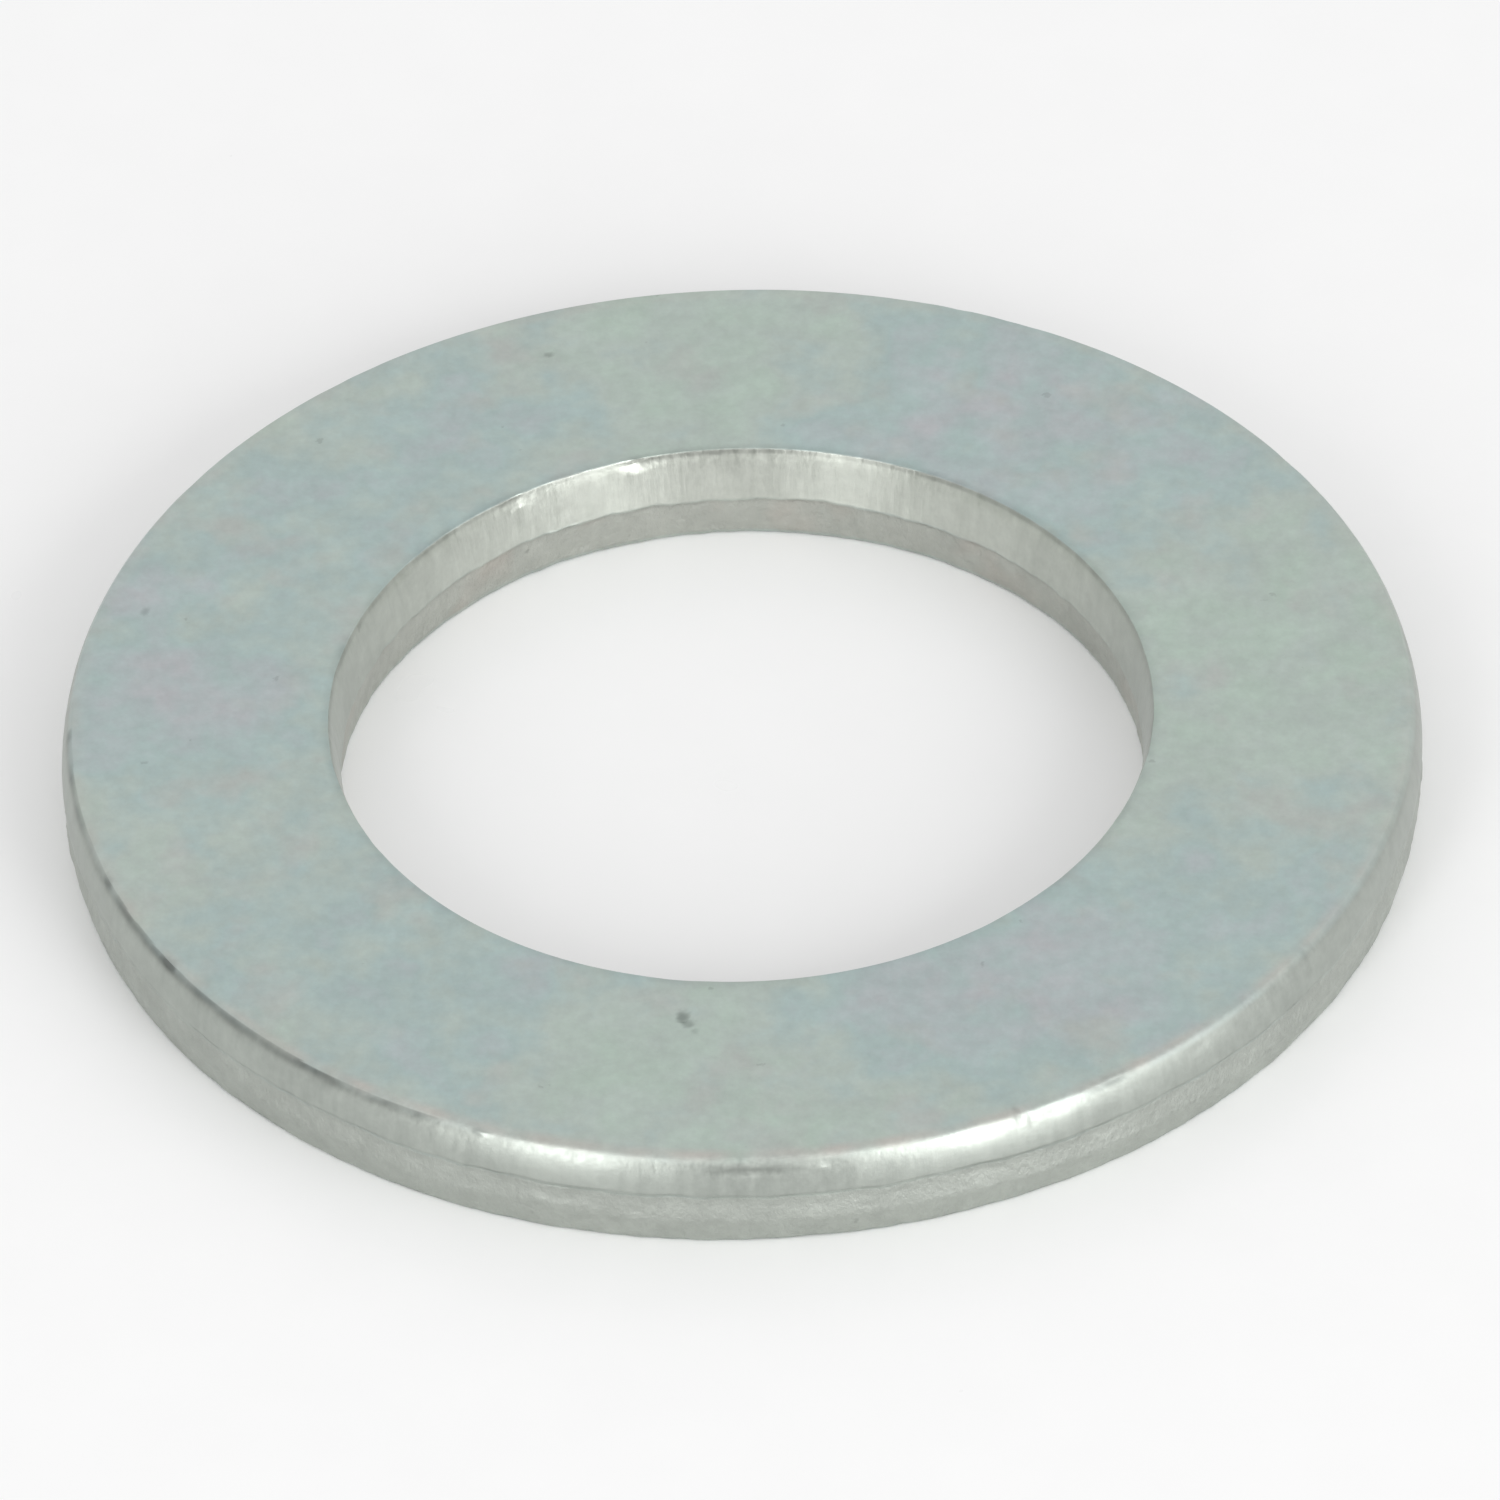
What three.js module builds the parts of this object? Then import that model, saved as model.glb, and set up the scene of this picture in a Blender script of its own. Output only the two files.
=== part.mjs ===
// Flat washer for an M22 bolt, punched from 3 mm steel strip and zinc plated.
//
// Lengths are in millimetres and +Z is up. The origin is the centre of the lower face, so the washer
// lies on the plane z = 0 with the bolt's axis along Z. A compound die cut the rim and the bore at once,
// so the rim is rolled over at the upper face, the bore flares towards it, and both walls are torn next to
// the lower face.

import * as THREE from 'three';

// Driving dimensions of the washer.
const OUTER_DIAMETER = 39;
const BORE_DIAMETER = 23;
const THICKNESS = 3;

// The upper edge of the rim is drawn down into a quarter of an ellipse.
const RIM_ROLL_WIDTH = 0.39;
const RIM_ROLL_DEPTH = 1.18;

// The sheared land of the bore closes in towards its narrowest circle, which is the bore diameter. A small
// bevel joins it to the upper face.
const BORE_LAND_TAPER = 0.32;
const MOUTH_BEVEL = 0.05;

// Below the lands the steel tears instead of shearing: the rim draws in and the bore opens out.
const RIM_BREAK_HEIGHT = 1.75;
const RIM_BREAK_TAPER = 0.2;
const BORE_BREAK_HEIGHT = 1.3;
const BORE_BREAK_FLARE = 0.1;

// Tumbling and plating leave a small bevel on both lower edges.
const LOWER_BEVEL = 0.08;

// Facets around the circle, a multiple of 4 so that both diameters are exact along X and Y.
const FACETS_AROUND = 120;
const STEPS_PER_ROLL = 8;

// Bright zinc plate under a thin blue-clear passivate.
const ZINC = { color: 0xacb7b0, roughness: 0.42, metalness: 0.85 };

const washer = new THREE.Group();
washer.add(makeFlatWasher());

export default washer;

function makeFlatWasher() {
  // An ellipse takes two steps for each division that getPoints is asked for.
  const section = crossSection().getPoints(STEPS_PER_ROLL / 2);
  const geometry = new THREE.LatheGeometry(section, FACETS_AROUND);
  const mesh = new THREE.Mesh(geometry, new THREE.MeshStandardMaterial(ZINC));
  mesh.name = 'flat_washer';
  mesh.rotation.x = Math.PI / 2;
  return mesh;
}

// The ring's section as a closed outline, x the distance from the bolt's axis and y the height. It runs
// outwards along the lower face, up the rim, back along the upper face and down the bore.
function crossSection() {
  const rim = OUTER_DIAMETER / 2;
  const rimFoot = rim - RIM_BREAK_TAPER;
  const rimRollFoot = THICKNESS - RIM_ROLL_DEPTH;
  const bore = BORE_DIAMETER / 2;
  const boreFoot = bore + BORE_BREAK_FLARE;
  const boreMouth = bore + BORE_LAND_TAPER;

  const outline = new THREE.Path();
  outline.moveTo(boreFoot + LOWER_BEVEL, 0);
  outline.lineTo(rimFoot - LOWER_BEVEL, 0);
  outline.lineTo(rimFoot, LOWER_BEVEL);
  outline.lineTo(rim, RIM_BREAK_HEIGHT);
  outline.lineTo(rim, rimRollFoot);
  outline.absellipse(rim - RIM_ROLL_WIDTH, rimRollFoot,
    RIM_ROLL_WIDTH, RIM_ROLL_DEPTH, 0, Math.PI / 2, false);
  outline.lineTo(boreMouth + MOUTH_BEVEL, THICKNESS);
  outline.lineTo(boreMouth, THICKNESS - MOUTH_BEVEL);
  outline.lineTo(bore, BORE_BREAK_HEIGHT);
  outline.lineTo(boreFoot, LOWER_BEVEL);
  outline.closePath();
  return outline;
}
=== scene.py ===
"""A zinc plated flat washer lying on a pale table, seen from in front and above.

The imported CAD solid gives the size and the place. One fine mesh stands for it: the same section, with the
edges that the die rolled over, the bright sheared lands, the torn walls under them, and the small dents
that a washer gets in the plating barrel. Blender's unit is the metre, and the ring is made in millimetres.
"""

import math

import bmesh
import bpy
import numpy as np
from mathutils import Matrix, Vector, noise


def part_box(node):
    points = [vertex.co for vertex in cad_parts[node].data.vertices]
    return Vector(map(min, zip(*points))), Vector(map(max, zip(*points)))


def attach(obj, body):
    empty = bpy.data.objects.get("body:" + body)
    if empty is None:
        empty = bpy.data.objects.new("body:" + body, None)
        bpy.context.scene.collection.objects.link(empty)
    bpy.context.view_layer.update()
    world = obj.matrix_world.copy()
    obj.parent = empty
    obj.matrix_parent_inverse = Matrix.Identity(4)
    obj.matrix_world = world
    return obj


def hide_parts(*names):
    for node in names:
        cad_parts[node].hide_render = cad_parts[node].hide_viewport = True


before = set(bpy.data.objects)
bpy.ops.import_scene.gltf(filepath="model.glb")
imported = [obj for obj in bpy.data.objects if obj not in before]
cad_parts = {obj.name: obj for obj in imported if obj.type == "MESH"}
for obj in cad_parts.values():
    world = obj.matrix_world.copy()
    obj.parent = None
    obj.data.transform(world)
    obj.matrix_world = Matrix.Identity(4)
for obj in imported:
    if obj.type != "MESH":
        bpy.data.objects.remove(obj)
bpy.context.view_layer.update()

MM = 0.001
NODE = "flat_washer"
BODY = "root"


def ring_sizes():
    """The ring's outer radius, bore radius and thickness in millimetres, from the CAD solid."""
    low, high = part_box(NODE)
    bore = min(math.hypot(v.co.x, v.co.y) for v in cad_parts[NODE].data.vertices)
    return high.x / MM, bore / MM, (high.z - low.z) / MM


OUTER, BORE, THICKNESS = ring_sizes()
MIDDLE = (OUTER + BORE) / 2

# ---------------------------------------------------------------------------------------------------------
# Dimensions, in millimetres unless a comment says otherwise
# ---------------------------------------------------------------------------------------------------------

# The punch sat off centre, so the rim is rolled over most at the front (-Y) and the bore's land slopes
# most at the back (+Y). A skew is what the measure gains at one side and loses at the other.
RIM_ROLL_WIDTH = 0.34
RIM_ROLL_SKEW = 0.12
RIM_LAND_LEAN = 0.05
RIM_BREAK_HEIGHT = 1.75
RIM_BREAK_TAPER = 0.2
BORE_ROLL_WIDTH = 0.015
BORE_ROLL_DEPTH = 0.035
BORE_LAND_TAPER = 0.32
BORE_LAND_SKEW = 0.02
BORE_BREAK_HEIGHT = 1.3
BORE_BREAK_FLARE = 0.1
LOWER_BEVEL = 0.08

# The share of the bore's flare that comes in a curve next to the upper face, and the power of the curve.
BORE_LAND_CURVE = 0.35
BORE_LAND_POWER = 4

# The land ends in a small ledge, and the torn wall starts behind it.
BREAK_LEDGE = 0.045
BREAK_LEDGE_HEIGHT = 0.07

# Under its ledge the rim's torn wall is hollow, and bulges before it draws in.
BREAK_HOLLOW = 0.015
BREAK_HOLLOW_DROP = 0.25
BREAK_BULGE = 0.026
BREAK_BULGE_DROP = 0.85

# A narrow strip on each side of the bore's sharp edge keeps the shading of the surfaces beside it true.
CREASE = 0.015

# How measures wander round the ring: lobes, seed, then the least and the most, as shares of the measure.
WANDERS = {
    "rim_foot": (14, 11, 0.8, 1.25),
    "rim_break": (150, 12, 0.93, 1.05),
    "rim_roll": (9, 13, 0.93, 1.07),
    "rim_bulge": (40, 18, 0.3, 1.7),
    "bore_foot": (14, 14, 0.6, 1.4),
    "bore_break": (110, 15, 0.9, 1.08),
    "bore_roll": (9, 16, 0.9, 1.15),
    "break_dirt_and_shade": (30, 17, 0.2, 1.0),
}

# Points round the ring, and steps along each stretch of its section.
COLUMNS = 560
LOWER_FACE_STEPS = 14
BEVEL_STEPS = 4
RIM_FOOT_STEPS = 9
BULGE_STEPS = 6
HOLLOW_STEPS = 3
LEDGE_STEPS = 2
RIM_LAND_STEPS = 24
UPPER_FACE_STEPS = 33
BORE_ROLL_STEPS = 5
BORE_LAND_STEPS = 23
BORE_FOOT_STEPS = 13

# The film's tint fades into the land's over these heights below the upper face.
RIM_SHOULDER = 0.22
BORE_SHOULDER = 0.04

# The lower bevels look partly torn, and the ledges half torn and half land, as shares of the full look.
BEVEL_TORN = 0.6
LEDGE_SHARE = 0.5

# The bore's land is painted lighter, a painted sheen standing in for the lights' reflection: most at the
# back, least at the sides and the front, as a share of the back.
SHEEN_LEAST = 0.05
SHEEN_POWER = 1.5

# Smooth noise over the surface: its swing, its cell, the shift of its pattern in cells, and how far it is
# drawn out along Z.
FIELDS = {
    "sway": (0.005, 3.4, 5.3, 1.0),
    "ripple": (0.0015, 0.9, 9.1, 1.0),
    "tear": (0.045, 0.62, 2.7, 1.5),
    "crumble": (0.022, 0.3, 7.9, 1.3),
    "shear": (1.0, 0.4, 3.3, 9.0),
    "grime_and_shade_gaps": (0.9, 1.1, 33.0, 1.0),
    "grime_and_shade_crumbs": (0.5, 0.35, 35.0, 1.0),
    "rub_gaps": (0.8, 0.9, 51.0, 1.0),
    "pool_drift_x": (1.1, 2.6, 14.2, 1.0),
    "pool_drift_y": (1.1, 2.6, 27.4, 1.0),
    "pool_edges": (0.1, 1.2, 41.0, 1.0),
}

# Depth of the shear marks on a land, and how much deeper they are in the bore.
SHEAR_DEPTH = 0.002
BORE_SHEAR_DEPTH = 0.006

# Marks of handling: where (degrees, radius, height), half length along the ring, half width across it,
# how far it is pressed in (below zero: raised), and how much dirt it holds.
MARKS = [
    ((-90.5, 19.41, 2.63), 1.05, 0.11, 0.050, 0.35),
    ((-84.7, 19.41, 2.63), 0.16, 0.12, -0.018, 0.0),
    ((-67.6, 19.20, 2.93), 0.09, 0.30, 0.022, 0.3),
    ((-66.4, 19.36, 2.72), 0.10, 0.26, 0.016, 0.2),
    ((-58.5, 19.20, 2.92), 0.55, 0.16, 0.022, 0.3),
    ((-49.9, 19.40, 2.66), 0.30, 0.16, 0.016, 0.0),
    ((-106.5, 19.45, 1.10), 1.80, 0.16, -0.030, 0.0),
    ((-113.2, 19.28, 2.93), 0.20, 0.10, -0.020, 0.0),
    ((-148.0, 19.22, 2.97), 0.34, 0.14, 0.020, 0.3),
    ((-160.0, 19.24, 2.96), 0.26, 0.14, 0.020, 0.3),
    ((122.5, 11.76, 2.84), 0.34, 0.22, 0.034, 0.0),
    ((103.5, 11.76, 2.84), 0.30, 0.18, 0.020, 0.2),
    ((115.7, 11.60, 1.93), 0.30, 0.20, 0.014, 0.0),
    ((-98.2, 13.36, 3.00), 0.17, 0.22, 0.045, 0.75),
    ((-97.3, 13.66, 3.00), 0.16, 0.15, 0.030, 0.55),
    ((-96.4, 13.92, 3.00), 0.10, 0.10, 0.015, 0.3),
    ((108.0, 17.30, 3.00), 0.14, 0.10, 0.015, 0.5),
    ((163.0, 17.90, 3.00), 0.16, 0.10, 0.015, 0.4),
]

# The mesh is three times finer within this distance of a mark.
REFINE_REACH = 0.75
REFINE_CUTS = 2

# Dents from the plating barrel. Along an edge: its radius, its height, and how many dents it has.
BARREL_SEED = 31
EDGE_DENTS = [
    (OUTER - 0.12, THICKNESS - 0.12, 34),
    (BORE + 0.25, THICKNESS - 0.12, 18),
    (OUTER - 0.18, LOWER_BEVEL, 22),
]
EDGE_DENT_LENGTHS = (0.25, 0.7)
EDGE_DENT_WIDTHS = (0.12, 0.3)
EDGE_DENT_DEPTHS = (0.006, 0.024)
FACE_DENTS = 26
FACE_DENT_RADII = (BORE + 1.2, OUTER - 1.0)
FACE_DENT_LENGTHS = (0.3, 1.1)
FACE_DENT_WIDTHS = (0.2, 0.4)
FACE_DENT_DEPTHS = (0.002, 0.007)

# A dent's bowl, the lip round it and the dirt in it. Distances are in half lengths and half widths, and the
# cell of its ragged outline is a share of the two together.
DENT_REACH = 3
DENT_RAGGEDNESS = 0.35
DENT_RAG_CELL = 0.35
DENT_RAG_SHIFT = 61.0
BOWL_STEEPNESS = 1.2
LIP_HEIGHT = 0.05
LIP_DISTANCE = 1.7
LIP_WIDTH = 0.5
DIRT_STEEPNESS = 0.9

# Dirt and painted shade along the upper edge of the rim, strongest at one angle and gone past another, both
# in degrees, with the fade in radians. The dark line stops where the highlight on the roll starts, and the
# least amount all round is painted shade over the tops of the highlights. Amounts are shares of full
# darkening. A broken amount comes on top of the steady one where the line isn't interrupted, and the cover is
# the average of the broken line.
GRIME_AND_SHADE_ANGLE = -138.0
GRIME_AND_SHADE_END = -116.0
GRIME_AND_SHADE_END_FADE = 0.03
GRIME_AND_SHADE_COVER = 0.45
RIM_GRIME_AND_SHADE_LEAST = 0.09
RIM_GRIME_AND_SHADE = 0.3
RIM_GRIME_AND_SHADE_BROKEN = 0.65
RIM_GRIME_AND_SHADE_DROP = 0.13

# Dirt and painted shade along the upper edge of the bore, with more at the back, where the painted shade dims
# the bright lip, and in a collar on the face round it.
BORE_GRIME_AND_SHADE = 0.2
BORE_GRIME_AND_SHADE_BACK = 0.4
BORE_GRIME_AND_SHADE_BROKEN = 0.35
BORE_GRIME_AND_SHADE_DROP = 0.08
MOUTH_GRIME_AND_SHADE = 0.24
MOUTH_GRIME_AND_SHADE_LEAST = 0.5
MOUTH_GRIME_AND_SHADE_WIDTH = 0.12

# Dirt and painted shade held under the ledges, darkening the crevice where the land ends.
RIM_BREAK_DIRT_AND_SHADE = 0.38
BORE_BREAK_DIRT_AND_SHADE = 0.16
BREAK_DIRT_AND_SHADE_HEIGHT = 0.08

# Where the film is rubbed off along the rim. RUB_LEAST is the amount at the back as a share of the front, and
# RUB_COVER is the average of its gaps and its full parts.
RUB_RADIUS = OUTER - 0.42
RUB_WIDTH = 0.2
RUB_LEAST = 0.25
RUB_COVER = 0.75

# Thickness of the passivate film, 0 thin and 1 thick: (degrees, radius, half size, film) of each pool.
FILM_POOLS = [
    (178, 16.0, 3.0, 1.0),
    (160, 18.0, 2.2, 0.85),
    (143, 14.6, 3.4, 0.62),
    (120, 15.0, 2.6, 0.72),
    (92, 16.5, 3.8, 0.08),
    (62, 15.0, 3.6, 0.92),
    (42, 16.0, 3.4, 0.8),
    (8, 16.0, 4.4, 0.06),
    (-8, 13.6, 2.6, 0.2),
    (-30, 16.6, 3.0, 0.6),
    (-52, 14.6, 3.6, 0.95),
    (-70, 14.0, 2.8, 0.85),
    (-88, 17.2, 3.0, 0.1),
    (-104, 15.6, 2.6, 0.12),
    (-122, 15.2, 3.6, 0.66),
    (-140, 15.0, 3.2, 0.58),
    (-160, 15.4, 3.0, 0.4),
]
POOL_STEEPNESS = 1.6

# The film between the pools, and its weight beside theirs.
OPEN_FILM = 0.35
OPEN_FILM_WEIGHT = 0.25


# ---------------------------------------------------------------------------------------------------------
# The ring's section
# ---------------------------------------------------------------------------------------------------------


def wander(angles, name):
    """A measure's smooth wander round the ring, made of sine waves up to a number of lobes."""
    lobes, seed, low, high = WANDERS[name]
    random = np.random.default_rng(seed)
    waves = np.zeros_like(angles)
    for lobe in range(1, lobes + 1):
        waves += np.sin(lobe * angles + random.uniform(0, 2 * math.pi)) / math.sqrt(lobe)
    waves /= np.abs(waves).max()
    return low + (high - low) * (waves + 1) / 2


def break_heights(angles):
    """How high the torn wall reaches round the rim and round the bore."""
    rim_break = RIM_BREAK_HEIGHT * wander(angles, "rim_break")
    bore_break = BORE_BREAK_HEIGHT * wander(angles, "bore_break")
    return rim_break, bore_break


def straight(start, end, steps=1):
    """Stations from start up to end, without the end. Both are pairs of arrays, radius and height."""
    for step in range(steps):
        share = step / steps
        yield tuple(a + (b - a) * share for a, b in zip(start, end))


def quarter(centre, width, depth, steps, from_side):
    """Stations along a quarter of an ellipse round centre, without its last one."""
    for step in range(steps):
        turn = math.pi / 2 * step / steps
        if not from_side:
            turn = math.pi / 2 - turn
        yield centre[0] + width * math.cos(turn), centre[1] + depth * math.sin(turn)


def rim_side(rim, roll_width, ledge_top):
    """Stations of the rim's land from the ledge up to the upper face: a quarter ellipse that leans in."""
    depth = THICKNESS - ledge_top
    for r, z in quarter((rim - roll_width, ledge_top), roll_width, depth, RIM_LAND_STEPS, True):
        yield r - RIM_LAND_LEAN * (z - ledge_top) / depth, z


def bore_side(bore, roll_width, taper, ledge_top):
    """Stations of the bore's land from the upper face down to the ledge, flaring more towards the top."""
    land_top = np.full_like(bore, THICKNESS - BORE_ROLL_DEPTH)
    centre = (bore + roll_width, land_top)
    stations = list(quarter(centre, -roll_width, BORE_ROLL_DEPTH, BORE_ROLL_STEPS, False))
    stations += straight((bore, land_top), (bore, land_top - CREASE))
    stations += straight((bore, land_top - CREASE), (bore, ledge_top), BORE_LAND_STEPS)
    for r, z in stations:
        share = (z - ledge_top) / (THICKNESS - ledge_top)
        flare = (1 - BORE_LAND_CURVE) * share + BORE_LAND_CURVE * share ** BORE_LAND_POWER
        yield r + taper * flare, z


def section_stations(angles):
    """The section as a closed list of (radius, height, land, torn) arrays, one value for each angle.

    It runs outwards along the lower face, up the rim, back along the upper face and down the bore.
    land and torn say how much of the sheared land and of the torn wall a station is.
    """
    flat = np.ones_like(angles)
    bottom = 0 * flat
    bevel = LOWER_BEVEL * flat
    top = THICKNESS * flat
    rim_break, bore_break = break_heights(angles)

    rim = OUTER * flat
    rim_foot = rim - RIM_BREAK_TAPER * wander(angles, "rim_foot")
    rim_width = (RIM_ROLL_WIDTH - RIM_ROLL_SKEW * np.sin(angles)) * wander(angles, "rim_roll")
    rim_ledge = rim_break + BREAK_LEDGE_HEIGHT
    rim_behind = rim - BREAK_LEDGE
    hollow = (rim_behind - BREAK_HOLLOW, rim_break - BREAK_HOLLOW_DROP)
    bulge = (rim_behind + BREAK_BULGE * wander(angles, "rim_bulge"), rim_break - BREAK_BULGE_DROP)

    bore = BORE * flat
    bore_foot = bore + BORE_BREAK_FLARE * wander(angles, "bore_foot")
    bore_width = BORE_ROLL_WIDTH * wander(angles, "bore_roll")
    bore_taper = BORE_LAND_TAPER + BORE_LAND_SKEW * np.sin(angles)
    bore_ledge = bore_break + BREAK_LEDGE_HEIGHT
    bore_behind = bore + BREAK_LEDGE
    collar = bore + bore_taper + bore_width + CREASE

    parts = []

    def add(stations, land=0.0, torn=0.0):
        parts.extend((r, z, land * flat, torn * flat) for r, z in stations)

    add(straight((bore_foot + bevel, bottom), (rim_foot - bevel, bottom), LOWER_FACE_STEPS))
    add(quarter((rim_foot - bevel, bevel), bevel, -bevel, BEVEL_STEPS, False), torn=BEVEL_TORN)
    add(straight((rim_foot, bevel), bulge, RIM_FOOT_STEPS), torn=1.0)
    add(straight(bulge, hollow, BULGE_STEPS), torn=1.0)
    add(straight(hollow, (rim_behind, rim_break), HOLLOW_STEPS), torn=1.0)
    add(straight((rim_behind, rim_break), (rim, rim_ledge), LEDGE_STEPS), LEDGE_SHARE, LEDGE_SHARE)
    add(rim_side(rim, rim_width, rim_ledge), land=1.0)
    add(straight((rim - rim_width - RIM_LAND_LEAN, top), (collar, top), UPPER_FACE_STEPS))
    add(straight((collar, top), (collar - CREASE, top)))
    add(bore_side(bore, bore_width, bore_taper, bore_ledge), land=1.0)
    add(straight((bore, bore_ledge), (bore_behind, bore_break), LEDGE_STEPS), LEDGE_SHARE, LEDGE_SHARE)
    add(straight((bore_behind, bore_break), (bore_foot, bevel), BORE_FOOT_STEPS), torn=1.0)
    add(quarter((bore_foot + bevel, bevel), -bevel, -bevel, BEVEL_STEPS, True), torn=BEVEL_TORN)
    return parts


# ---------------------------------------------------------------------------------------------------------
# The ring's mesh
# ---------------------------------------------------------------------------------------------------------


def keep_attribute(mesh, name, values):
    layer = mesh.attributes.get(name) or mesh.attributes.new(name, "FLOAT", "POINT")
    layer.data.foreach_set("value", values.astype(np.float32))


def attribute(mesh, name):
    values = np.empty(len(mesh.vertices), dtype=np.float32)
    mesh.attributes[name].data.foreach_get("value", values)
    return values.astype(float)


def points_of(mesh):
    """The mesh's points in millimetres."""
    values = np.empty(len(mesh.vertices) * 3, dtype=np.float32)
    mesh.vertices.foreach_get("co", values)
    return values.reshape(-1, 3).astype(float) / MM


def normals_of(mesh):
    values = np.empty(len(mesh.vertices) * 3, dtype=np.float32)
    mesh.vertex_normals.foreach_get("vector", values)
    return values.reshape(-1, 3).astype(float)


def set_points(mesh, points):
    mesh.vertices.foreach_set("co", (points * MM).astype(np.float32).ravel())
    mesh.update()


def at(angle, radius, height):
    """A point of the ring in millimetres, its angle in degrees from +X."""
    turn = math.radians(angle)
    return np.array([radius * math.cos(turn), radius * math.sin(turn), height])


def break_dirt_and_shade(angles, radius, height):
    """Dirt and painted shade under the ledge where the land ends, uneven round the ring, on the rim only at
    the front.
    """
    rim_break, bore_break = break_heights(angles)
    on_rim = radius > MIDDLE
    brink = np.where(on_rim, rim_break, bore_break)
    line = np.exp(-((height - brink) / BREAK_DIRT_AND_SHADE_HEIGHT) ** 2)
    wall = (radius > OUTER - RIM_ROLL_WIDTH) | (radius < BORE + BORE_LAND_TAPER)
    # Painted shade in the crevice under the ledge, with dirt; on the rim only at the front.
    front = np.clip(-np.sin(angles), 0, 1) ** 2
    amount = np.where(on_rim, RIM_BREAK_DIRT_AND_SHADE * front, BORE_BREAK_DIRT_AND_SHADE)
    return amount * line * wall * wander(angles, "break_dirt_and_shade")


def ring_mesh():
    """The smooth ring as a closed grid of quads, with its zones kept as point attributes."""
    angles = np.linspace(0, 2 * math.pi, COLUMNS, endpoint=False)
    stations = section_stations(angles)
    rows = len(stations)
    radius, height, land, torn = (np.array([s[k] for s in stations]) for k in range(4))
    shoulder = np.where(radius > MIDDLE, RIM_SHOULDER, BORE_SHOULDER)
    land *= np.clip((THICKNESS - height) / shoulder, 0, 1)
    points = np.stack([radius * np.cos(angles), radius * np.sin(angles), height], axis=-1)

    row, column = np.meshgrid(np.arange(rows), np.arange(COLUMNS), indexing="ij")
    next_row = (row + 1) % rows
    next_column = (column + 1) % COLUMNS
    corners = [(row, column), (row, next_column), (next_row, next_column), (next_row, column)]
    quads = np.stack([r * COLUMNS + c for r, c in corners], axis=-1).reshape(-1, 4)

    mesh = bpy.data.meshes.new("plated_ring")
    mesh.from_pydata((points.reshape(-1, 3) * MM).tolist(), [], quads.tolist())
    bore = (radius < MIDDLE) * np.clip(land + torn, 0, 1)
    # Painted sheen: the bore's land is made lighter towards the back, where it shows the lights' reflection.
    back = np.clip(np.sin(angles), 0, 1) ** SHEEN_POWER
    painted_sheen = bore * (SHEEN_LEAST + (1 - SHEEN_LEAST) * back)
    crack_dirt_and_shade = break_dirt_and_shade(angles, radius, height)
    zones = {"land": land, "torn": torn, "bore": bore, "painted_sheen": painted_sheen, "crack_dirt_and_shade": crack_dirt_and_shade}
    for name, values in zones.items():
        keep_attribute(mesh, name, values.ravel())
    mesh.update()
    return mesh


def refine(mesh, centres):
    """Split the faces near the centres, which are in millimetres, so that a small mark has a shape."""
    work = bmesh.new()
    work.from_mesh(mesh)
    spots = [Vector(centre) * MM for centre in centres]

    def near(vertex):
        return any((vertex.co - spot).length < REFINE_REACH * MM for spot in spots)

    edges = [edge for edge in work.edges if near(edge.verts[0]) and near(edge.verts[1])]
    bmesh.ops.subdivide_edges(work, edges=edges, cuts=REFINE_CUTS, use_grid_fill=True)
    work.to_mesh(mesh)
    work.free()
    mesh.update()


def smooth_noise(points, cell, shift, upright=1.0):
    """Smooth noise in -1..1 with cells of the given size in millimetres, drawn out by upright along Z."""
    scaled = (points / [cell, cell, cell * upright] + shift).tolist()
    return np.array([noise.noise(p) for p in scaled])


def field(points, name):
    """One of the FIELDS at the points, which are in millimetres."""
    swing, cell, shift, upright = FIELDS[name]
    return swing * smooth_noise(points, cell, shift, upright)


def press(points, normals, dirt_and_shade, centre, length, width, depth, dirt):
    """Press a dent with a low raised lip into the points, around the point nearest to the centre."""
    nearest = np.argmin(np.linalg.norm(points - centre, axis=1))
    middle = points[nearest]
    out = normals[nearest]
    along = np.cross([0, 0, 1], middle * [1, 1, 0])
    along /= np.linalg.norm(along)
    across = np.cross(out, along)
    offset = points - middle
    span = np.sqrt((offset @ along / length) ** 2 + (offset @ across / width) ** 2)
    close = (np.abs(offset @ out) < length + width) & (span < DENT_REACH)
    rag = smooth_noise(points[close], DENT_RAG_CELL * (length + width), DENT_RAG_SHIFT)
    span[close] *= 1 + DENT_RAGGEDNESS * rag
    bowl = np.exp(-BOWL_STEEPNESS * span ** 2)
    lip = LIP_HEIGHT * np.exp(-((span - LIP_DISTANCE) / LIP_WIDTH) ** 2)
    points += normals * (depth * (lip - bowl) * close)[:, None]
    dirt_and_shade += dirt * np.exp(-(DIRT_STEEPNESS * span) ** 4) * close


def barrel_dents():
    """Shallow dents at random on the edges and the faces, from washers knocking in the barrel."""
    random = np.random.default_rng(BARREL_SEED)
    for radius, height, count in EDGE_DENTS:
        for angle in random.uniform(-180, 180, count):
            length = random.uniform(*EDGE_DENT_LENGTHS)
            width = random.uniform(*EDGE_DENT_WIDTHS)
            yield at(angle, radius, height), length, width, random.uniform(*EDGE_DENT_DEPTHS), 0.0
    for height in (THICKNESS, 0):
        for _ in range(FACE_DENTS):
            radius = random.uniform(*FACE_DENT_RADII)
            length = random.uniform(*FACE_DENT_LENGTHS)
            width = random.uniform(*FACE_DENT_WIDTHS)
            centre = at(random.uniform(-180, 180), radius, height)
            yield centre, length, width, random.uniform(*FACE_DENT_DEPTHS), 0.0


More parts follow.
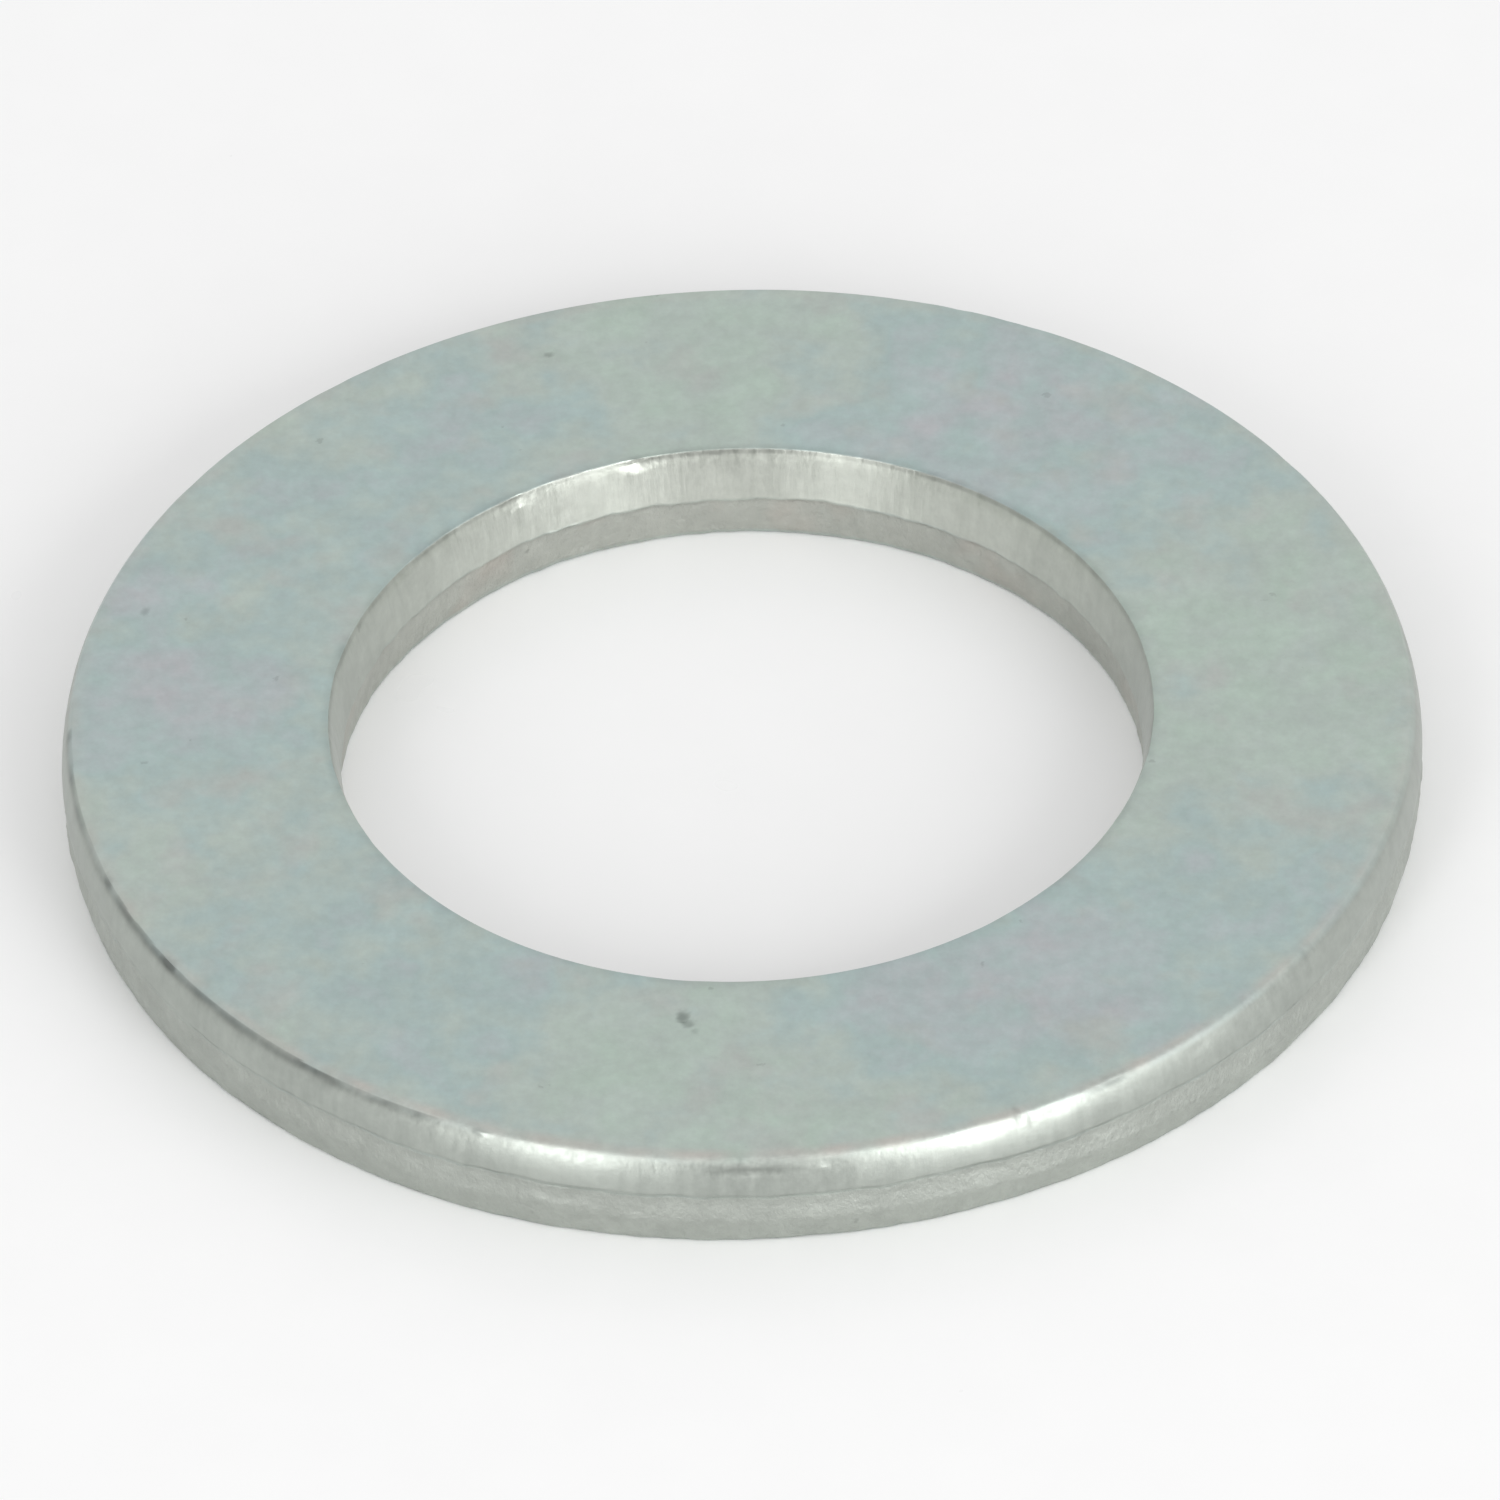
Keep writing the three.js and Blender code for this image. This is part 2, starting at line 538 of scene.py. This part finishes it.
def edge_grime_and_shade(points):
    """Dirt and painted shade along the upper edges in broken lines, most on the rim at the front left."""
    radius = np.hypot(points[:, 0], points[:, 1])
    turn = np.arctan2(points[:, 1], points[:, 0])
    on_rim = radius > MIDDLE
    broken = np.clip(GRIME_AND_SHADE_COVER + field(points, "grime_and_shade_gaps") + field(points, "grime_and_shade_crumbs"), 0, 1)

    # Painted shade: the rim's dark edge line, the least amount round the rim and the bore's back edge dim
    # edges and highlights.
    left = 0.5 + 0.5 * np.cos(turn - math.radians(GRIME_AND_SHADE_ANGLE))
    stop = np.clip((math.radians(GRIME_AND_SHADE_END) - turn) / GRIME_AND_SHADE_END_FADE, 0, 1)
    rim_amount = RIM_GRIME_AND_SHADE_LEAST + (RIM_GRIME_AND_SHADE + RIM_GRIME_AND_SHADE_BROKEN * broken) * stop * left ** 3
    back = np.clip(np.sin(turn), 0, 1) ** 4
    bore_amount = BORE_GRIME_AND_SHADE + BORE_GRIME_AND_SHADE_BACK * back + BORE_GRIME_AND_SHADE_BROKEN * broken
    amount = np.where(on_rim, rim_amount, bore_amount)

    drop = np.where(on_rim, RIM_GRIME_AND_SHADE_DROP, BORE_GRIME_AND_SHADE_DROP)
    line = np.exp(-((points[:, 2] - THICKNESS + drop) / drop) ** 2)
    mouth = BORE + BORE_LAND_TAPER + BORE_ROLL_WIDTH
    steep = np.where(on_rim, radius > OUTER - RIM_ROLL_WIDTH, radius < mouth)
    collar = np.exp(-((radius - mouth - MOUTH_GRIME_AND_SHADE_WIDTH / 2) / MOUTH_GRIME_AND_SHADE_WIDTH) ** 2)
    collar *= (points[:, 2] > THICKNESS - BORE_GRIME_AND_SHADE_DROP) & ~steep
    return amount * line * steep + MOUTH_GRIME_AND_SHADE * (MOUTH_GRIME_AND_SHADE_LEAST + broken) * collar


def edge_rub(points):
    """How far the film is rubbed off along the rim's upper edge, most at the front."""
    radius = np.hypot(points[:, 0], points[:, 1])
    front = 0.5 - 0.5 * points[:, 1] / radius
    ring = np.exp(-((radius - RUB_RADIUS) / RUB_WIDTH) ** 2) * (points[:, 2] > THICKNESS - RIM_SHOULDER)
    amount = ring * (RUB_LEAST + (1 - RUB_LEAST) * front ** 3)
    return np.clip(amount * (RUB_COVER + field(points, "rub_gaps")), 0, 1)


def weather(mesh):
    """Move the smooth ring's points, by waviness, torn steel, shear marks and dents, and keep the dirt and
    the painted shade.
    """
    land = attribute(mesh, "land")
    torn = attribute(mesh, "torn")
    points = points_of(mesh)
    normals = normals_of(mesh)
    shift = field(points, "sway") + field(points, "ripple")
    shift += torn * (field(points, "tear") + field(points, "crumble"))
    shear_depth = SHEAR_DEPTH + BORE_SHEAR_DEPTH * attribute(mesh, "bore")
    shift += land * shear_depth * field(points, "shear")
    points += normals * shift[:, None]

    dirt_and_shade = np.zeros(len(points))
    for place, *size_and_dirt in MARKS:
        press(points, normals, dirt_and_shade, at(*place), *size_and_dirt)
    for centre, *size_and_dirt in barrel_dents():
        press(points, normals, dirt_and_shade, centre, *size_and_dirt)
    # Painted shade along the upper edges and in the crevices joins the dirt of the dents.
    dirt_and_shade += edge_grime_and_shade(points) + attribute(mesh, "crack_dirt_and_shade")
    points[:, 2] = np.clip(points[:, 2], 0, None)
    set_points(mesh, points)
    keep_attribute(mesh, "dirt_and_shade", np.clip(dirt_and_shade, 0, 1))
    mesh.attributes.remove(mesh.attributes["crack_dirt_and_shade"])
    keep_attribute(mesh, "rub", edge_rub(points))


def keep_film(mesh):
    """Blend the pools by distance into the point attribute "film", with a soft wander of their edges."""
    points = points_of(mesh)
    drift = [field(points, "pool_drift_x"), field(points, "pool_drift_y"), np.zeros(len(points))]
    moved = points + np.stack(drift, axis=-1)
    total = np.full(len(points), OPEN_FILM_WEIGHT)
    film = OPEN_FILM * total
    for angle, radius, size, value in FILM_POOLS:
        distance = np.linalg.norm(moved - at(angle, radius, THICKNESS), axis=1)
        weight = np.exp(-(distance / size) ** 2 * POOL_STEEPNESS)
        total += weight
        film += value * weight
    keep_attribute(mesh, "film", np.clip(film / total + field(points, "pool_edges"), 0, 1))


def make_washer():
    mesh = ring_mesh()
    refine(mesh, [at(*place) for place, *_ in MARKS])
    weather(mesh)
    keep_film(mesh)
    mesh.polygons.foreach_set("use_smooth", [True] * len(mesh.polygons))
    washer = bpy.data.objects.new("plated_ring", mesh)
    bpy.context.scene.collection.objects.link(washer)
    return washer


# ---------------------------------------------------------------------------------------------------------
# Materials
# ---------------------------------------------------------------------------------------------------------

# Noise in the materials: its cell, its detail, its scale along Z, its shift in millimetres and its roughness.
PLATE_NOISES = {
    "mottle": (1.6, 4.0, 1.0, 3.0, 0.5),
    "grain": (0.13, 2.0, 1.0, 8.0, 0.5),
    "crystals": (0.42, 3.0, 1.0, 12.0, 0.5),
    "scuff": (0.24, 3.0, 0.07, 5.0, 0.5),
    "fracture": (0.17, 4.0, 0.7, 1.0, 0.65),
    "drift": (1.5, 4.0, 1.0, 17.0, 0.5),
    "blush": (2.1, 3.0, 1.0, 23.0, 0.5),
    "rust": (2.4, 2.0, 1.0, 29.0, 0.5),
    "speck_edge": (0.2, 2.0, 1.0, 6.0, 0.5),
}
PAPER_NOISES = {
    "fibre": (2.5, 2.0, 1.0, 4.0, 0.5),
    "cloud": (45.0, 3.0, 1.0, 1.0, 0.5),
}

# The part of its range 0..1 in which a noise mostly lies.
NOISE_RANGE = (0.3, 0.7)

# Zones of the washer, kept as point attributes of its mesh.
ZONES = ("land", "torn", "bore", "painted_sheen", "dirt_and_shade", "rub", "film")

# Colours of the plate under the passivate film, from a thin film to a thick one.
FILM_TINTS = [
    (0.0, (0.540, 0.642, 0.572)),
    (0.3, (0.542, 0.618, 0.574)),
    (0.58, (0.492, 0.602, 0.586)),
    (0.8, (0.526, 0.592, 0.596)),
    (1.0, (0.562, 0.582, 0.598)),
]

# How much the film's thickness drifts within a pool.
FILM_DRIFT = (-0.22, 0.22)

# Colours of the walls, from the dark end of their noise to the light one.
LAND_TINTS = [(0.3, (0.396, 0.425, 0.392)), (0.7, (0.44, 0.47, 0.434))]
# These lighter tints are a painted sheen on the bore's land, a painted highlight strongest at its back.
PAINTED_SHEEN_TINTS = [(0.3, (0.556, 0.582, 0.53)), (0.7, (0.612, 0.636, 0.584))]
TORN_TINTS = [(0.3, (0.436, 0.459, 0.426)), (0.7, (0.478, 0.504, 0.468))]
BORE_TORN_TINTS = [(0.3, (0.465, 0.478, 0.442)), (0.7, (0.515, 0.53, 0.492))]

# Patches of another colour: its largest share, and the noise at which a patch starts and is full.
BLUSH = (0.548, 0.578, 0.552, 1)
BLUSH_PATCHES = (0.8, 0.55, 0.72)
RUST_HINT = (0.50, 0.475, 0.435, 1)
RUST_PATCHES = (0.75, 0.52, 0.68)

# The plate where the film is rubbed off.
RUBBED = (0.60, 0.59, 0.548, 1)

# Tones multiply the colour.
MOTTLE_TONES = (0.955, 1.04)
GRAIN_TONES = (0.97, 1.03)
CRYSTAL_TONES = (0.955, 1.04)
# The tone with no darkening and with full dirt and painted shade.
DIRT_AND_SHADE_TONES = (1.0, 0.42)

# Roughness of each zone, and what the grain adds to it.
FACE_ROUGHNESS = (0.36, 0.47)
LAND_ROUGHNESS = (0.33, 0.43)
TORN_ROUGHNESS = (0.46, 0.62)
GRAIN_ROUGHNESS = (-0.04, 0.04)

# Heights of the bumps in millimetres, and how much the shear marks show on the rim and in the bore.
GRAIN_BUMP = 0.003
CRYSTAL_BUMP = 0.004
SHEAR_BUMP = 0.04
SHEAR_RIM_AND_BORE = (0.14, 0.45)
FRACTURE_BUMP = 0.05

# Specks under the film. A cell is in millimetres, the sizes are in cells, and SPECK_RARITY is the share of
# the cells that have none.
SPECK_CELL = 1.25
SPECK_SHIFT = 2.0
SPECK_RARITY = 0.6
SPECK_SIZE = 0.12
SPECK_RAGGEDNESS = 0.09
SPECK_FADE = 0.05
SPECK_TONE = 0.84

PAPER_COLOUR = (0.96, 0.96, 0.96)
PAPER_NOISE_RANGE = (0.1, 0.9)
PAPER_TONES = (0.985, 1.005)
PAPER_ROUGHNESS = (0.26, 0.34)
PAPER_IOR = 1.6
PAPER_BUMP = 0.002


class Nodes:
    """A material's node tree, with a short function for each kind of node that the materials use."""

    def __init__(self, name):
        self.material = bpy.data.materials.new(name)
        self.material.use_nodes = True
        self.tree = self.material.node_tree
        self.shader = self.tree.nodes["Principled BSDF"]

    def add(self, kind, inputs=None, **settings):
        node = self.tree.nodes.new(kind)
        for name, value in settings.items():
            setattr(node, name, value)
        for name, value in (inputs or {}).items():
            self.put(node.inputs[name], value)
        return node

    def put(self, socket, value):
        if isinstance(value, bpy.types.NodeSocket):
            self.tree.links.new(value, socket)
        else:
            socket.default_value = value

    def attribute(self, name):
        return self.add("ShaderNodeAttribute", attribute_name=name).outputs["Fac"]

    def millimetres(self, upright, shift):
        """Object coordinates in millimetres, multiplied by upright along Z and moved by shift."""
        place = self.add("ShaderNodeTexCoord").outputs["Object"]
        factors = (1 / MM, 1 / MM, upright / MM)
        inputs = {"Vector": place, "Scale": factors, "Location": (shift, shift, shift)}
        return self.add("ShaderNodeMapping", inputs).outputs["Vector"]

    def noise(self, cell, detail, upright, shift, roughness):
        """Noise in 0..1 with cells of the given size in millimetres."""
        place = self.millimetres(upright, shift)
        inputs = {"Vector": place, "Scale": 1 / cell, "Detail": detail, "Roughness": roughness}
        return self.add("ShaderNodeTexNoise", inputs).outputs["Fac"]

    def math(self, operation, *values):
        node = self.add("ShaderNodeMath", operation=operation)
        for socket, value in zip(node.inputs, values):
            self.put(socket, value)
        return node.outputs["Value"]

    def product(self, first, *others):
        for other in others:
            first = self.math("MULTIPLY", first, other)
        return first

    def span(self, value, low, high, from_low=0.0, from_high=1.0):
        """The value's range from_low..from_high spread over low..high, held at both ends."""
        inputs = {"Value": value, "From Min": from_low, "From Max": from_high, "To Min": low, "To Max": high}
        return self.add("ShaderNodeMapRange", inputs).outputs["Result"]

    def vary(self, noise_value, low, high):
        """A noise spread over low..high."""
        return self.span(noise_value, low, high, *NOISE_RANGE)

    def patches(self, noise_value, amount, start, full):
        """0, or up to amount in the patches where a noise is high."""
        return self.span(noise_value, 0.0, amount, start, full)

    def ramp(self, factor, stops):
        node = self.add("ShaderNodeValToRGB", {"Fac": factor})
        elements = node.color_ramp.elements
        while len(elements) < len(stops):
            elements.new(1.0)
        for element, (position, colour) in zip(elements, stops):
            element.position = position
            element.color = (*colour, 1)
        return node.outputs["Color"]

    def mix_colours(self, factor, first, second):
        node = self.add("ShaderNodeMix", data_type="RGBA")
        for index, value in ((0, factor), (6, first), (7, second)):
            self.put(node.inputs[index], value)
        return node.outputs[2]

    def mix_values(self, factor, first, second):
        node = self.add("ShaderNodeMix", data_type="FLOAT")
        for index, value in ((0, factor), (2, first), (3, second)):
            self.put(node.inputs[index], value)
        return node.outputs[0]

    def shade(self, colour, value):
        """The colour multiplied by a single value."""
        inputs = {0: colour, 3: value}
        return self.add("ShaderNodeVectorMath", inputs, operation="SCALE").outputs["Vector"]

    def bump(self, height, millimetre, normal=None):
        inputs = {"Height": height, "Distance": millimetre * MM, "Strength": 1.0}
        if normal is not None:
            inputs["Normal"] = normal
        return self.add("ShaderNodeBump", inputs).outputs["Normal"]


def face_colour(nodes, zone, noises):
    """The film's tint, with greyer patches, and the plate showing where the film is rubbed off."""
    film = nodes.math("ADD", zone["film"], nodes.vary(noises["drift"], *FILM_DRIFT))
    patches = nodes.patches(noises["blush"], *BLUSH_PATCHES)
    colour = nodes.mix_colours(patches, nodes.ramp(film, FILM_TINTS), BLUSH)
    return nodes.mix_colours(zone["rub"], colour, RUBBED)


def land_colour(nodes, zone, noises):
    plain = nodes.ramp(noises["scuff"], LAND_TINTS)
    # A painted sheen: a lighter copy of the land's colour where the bore's land shows the lights' reflection.
    painted_sheen_colour = nodes.ramp(noises["scuff"], PAINTED_SHEEN_TINTS)
    return nodes.mix_colours(zone["painted_sheen"], plain, painted_sheen_colour)


def torn_colour(nodes, zone, noises):
    """Dull steel, paler and warmer in the bore, with a hint of rust there."""
    on_rim = nodes.ramp(noises["fracture"], TORN_TINTS)
    in_bore = nodes.ramp(noises["fracture"], BORE_TORN_TINTS)
    colour = nodes.mix_colours(zone["bore"], on_rim, in_bore)
    rust = nodes.product(nodes.patches(noises["rust"], *RUST_PATCHES), zone["bore"])
    return nodes.mix_colours(rust, colour, RUST_HINT)


def plate_colour(nodes, zone, noises):
    colour = face_colour(nodes, zone, noises)
    colour = nodes.mix_colours(zone["land"], colour, land_colour(nodes, zone, noises))
    colour = nodes.mix_colours(zone["torn"], colour, torn_colour(nodes, zone, noises))
    shade = nodes.product(
        nodes.vary(noises["mottle"], *MOTTLE_TONES),
        nodes.vary(noises["grain"], *GRAIN_TONES),
        nodes.vary(noises["crystals"], *CRYSTAL_TONES),
        specks(nodes, noises),
        # dirt and painted shade darken the colour
        nodes.span(zone["dirt_and_shade"], *DIRT_AND_SHADE_TONES),
    )
    return nodes.shade(colour, shade)


def specks(nodes, noises):
    """A few dark specks under the film: 1, or less inside a speck."""
    inputs = {"Vector": nodes.millimetres(1, SPECK_SHIFT), "Scale": 1 / SPECK_CELL}
    cells = nodes.add("ShaderNodeTexVoronoi", inputs)
    chance = nodes.add("ShaderNodeSeparateColor", {"Color": cells.outputs["Color"]}).outputs["Red"]
    size = nodes.patches(chance, SPECK_SIZE, SPECK_RARITY, 1.0)
    ragged = nodes.vary(noises["speck_edge"], -SPECK_RAGGEDNESS, SPECK_RAGGEDNESS)
    inside = nodes.math("SUBTRACT", nodes.math("ADD", size, ragged), cells.outputs["Distance"])
    return nodes.span(inside, 1.0, SPECK_TONE, 0.0, SPECK_FADE)


def plate_roughness(nodes, zone, noises):
    """Matt faces, lands that the punch smoothed, torn walls that scatter."""
    roughness = nodes.vary(noises["mottle"], *FACE_ROUGHNESS)
    roughness = nodes.mix_values(zone["land"], roughness, nodes.vary(noises["scuff"], *LAND_ROUGHNESS))
    roughness = nodes.mix_values(zone["torn"], roughness, nodes.vary(noises["fracture"], *TORN_ROUGHNESS))
    return nodes.math("ADD", roughness, nodes.vary(noises["grain"], *GRAIN_ROUGHNESS))


def plate_normal(nodes, zone, noises):
    normal = nodes.bump(noises["grain"], GRAIN_BUMP)
    normal = nodes.bump(noises["crystals"], CRYSTAL_BUMP, normal)
    shear = nodes.product(zone["land"], nodes.span(zone["bore"], *SHEAR_RIM_AND_BORE))
    normal = nodes.bump(nodes.product(noises["scuff"], shear), SHEAR_BUMP, normal)
    return nodes.bump(nodes.product(noises["fracture"], zone["torn"]), FRACTURE_BUMP, normal)


def zinc_plate():
    nodes = Nodes("zinc_plate")
    zone = {name: nodes.attribute(name) for name in ZONES}
    noises = {name: nodes.noise(*settings) for name, settings in PLATE_NOISES.items()}
    nodes.put(nodes.shader.inputs["Base Color"], plate_colour(nodes, zone, noises))
    nodes.put(nodes.shader.inputs["Metallic"], 1.0)
    nodes.put(nodes.shader.inputs["Roughness"], plate_roughness(nodes, zone, noises))
    nodes.put(nodes.shader.inputs["Normal"], plate_normal(nodes, zone, noises))
    return nodes.material


def pale_paper():
    nodes = Nodes("pale_table")
    noises = {name: nodes.noise(*settings) for name, settings in PAPER_NOISES.items()}
    fibre = noises["fibre"]
    shade = nodes.product(
        nodes.span(fibre, *PAPER_TONES, *PAPER_NOISE_RANGE),
        nodes.span(noises["cloud"], *PAPER_TONES, *PAPER_NOISE_RANGE),
    )
    nodes.put(nodes.shader.inputs["Base Color"], nodes.shade(PAPER_COLOUR, shade))
    nodes.put(nodes.shader.inputs["Roughness"], nodes.span(fibre, *PAPER_ROUGHNESS, *PAPER_NOISE_RANGE))
    nodes.put(nodes.shader.inputs["IOR"], PAPER_IOR)
    nodes.put(nodes.shader.inputs["Normal"], nodes.bump(fibre, PAPER_BUMP))
    return nodes.material


washer = make_washer()
washer.data.materials.append(zinc_plate())
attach(washer, BODY)
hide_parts(NODE)


# ---------------------------------------------------------------------------------------------------------
# Table, light and camera, in metres
# ---------------------------------------------------------------------------------------------------------

RING_CENTRE = Vector((0, 0, THICKNESS / 2 * MM))

# The table lies a little below the washer, so that their faces never coincide.
TABLE_SIZE = 3.0
TABLE_DROP = 0.00002

# Soft lights facing the washer: azimuth (0 in front, growing to the right, in degrees), width and radiance.
WINDOWS = {
    "left_window": (-29, 0.18, 5.4),
    "right_window": (34, 0.32, 4.8),
    "right_curtain": (62, 0.5, 1.0),
}
WINDOW_ELEVATION = math.radians(20)
WINDOW_DISTANCE = 0.9
WINDOW_HEIGHT = 0.62
ROOM_LIGHT = 0.78

# The camera looks from the front at a point beside the ring's centre, with its lens in millimetres.
CAMERA_DISTANCE = 0.4315
CAMERA_ELEVATION = math.radians(40.36)
CAMERA_ROLL = math.radians(1.8)
CAMERA_LENS = 361.0
CAMERA_AIM = Vector((0.23, 0, -0.03)) * MM


def make_table():
    work = bmesh.new()
    bmesh.ops.create_grid(work, x_segments=1, y_segments=1, size=TABLE_SIZE / 2)
    mesh = bpy.data.meshes.new("table")
    work.to_mesh(mesh)
    work.free()
    mesh.materials.append(pale_paper())
    table = bpy.data.objects.new("table", mesh)
    table.location.z = -TABLE_DROP
    bpy.context.scene.collection.objects.link(table)


def direction(azimuth, elevation):
    """A unit vector away from the washer. Angles are in radians, and azimuth 0 is in front."""
    level = math.cos(elevation)
    return Vector((math.sin(azimuth) * level, -math.cos(azimuth) * level, math.sin(elevation)))


def make_window(name, azimuth, width, radiance):
    away = direction(math.radians(azimuth), WINDOW_ELEVATION)
    light = bpy.data.lights.new(name, "AREA")
    light.shape = "RECTANGLE"
    light.size = width
    light.size_y = WINDOW_HEIGHT
    light.energy = radiance * math.pi * width * WINDOW_HEIGHT
    window = bpy.data.objects.new(name, light)
    window.location = RING_CENTRE + away * WINDOW_DISTANCE
    window.rotation_euler = away.to_track_quat("Z", "Y").to_euler()
    bpy.context.scene.collection.objects.link(window)


def make_room():
    world = bpy.data.worlds.new("studio")
    world.use_nodes = True
    background = world.node_tree.nodes["Background"]
    background.inputs["Color"].default_value = (1, 1, 1, 1)
    background.inputs["Strength"].default_value = ROOM_LIGHT
    bpy.context.scene.world = world


def make_camera():
    away = direction(0, CAMERA_ELEVATION)
    data = bpy.data.cameras.new("camera")
    data.lens = CAMERA_LENS
    data.sensor_width = 36.0
    data.clip_start = 0.01
    data.clip_end = 20.0
    camera = bpy.data.objects.new("camera", data)
    facing = away.to_track_quat("Z", "Y").to_matrix().to_4x4() @ Matrix.Rotation(-CAMERA_ROLL, 4, "Z")
    camera.matrix_world = Matrix.Translation(RING_CENTRE + CAMERA_AIM + away * CAMERA_DISTANCE) @ facing
    bpy.context.scene.collection.objects.link(camera)
    return camera


make_table()
for name, settings in WINDOWS.items():
    make_window(name, *settings)
make_room()

scene = bpy.context.scene
scene.camera = make_camera()
scene.view_settings.view_transform = "Standard"
scene.view_settings.look = "None"
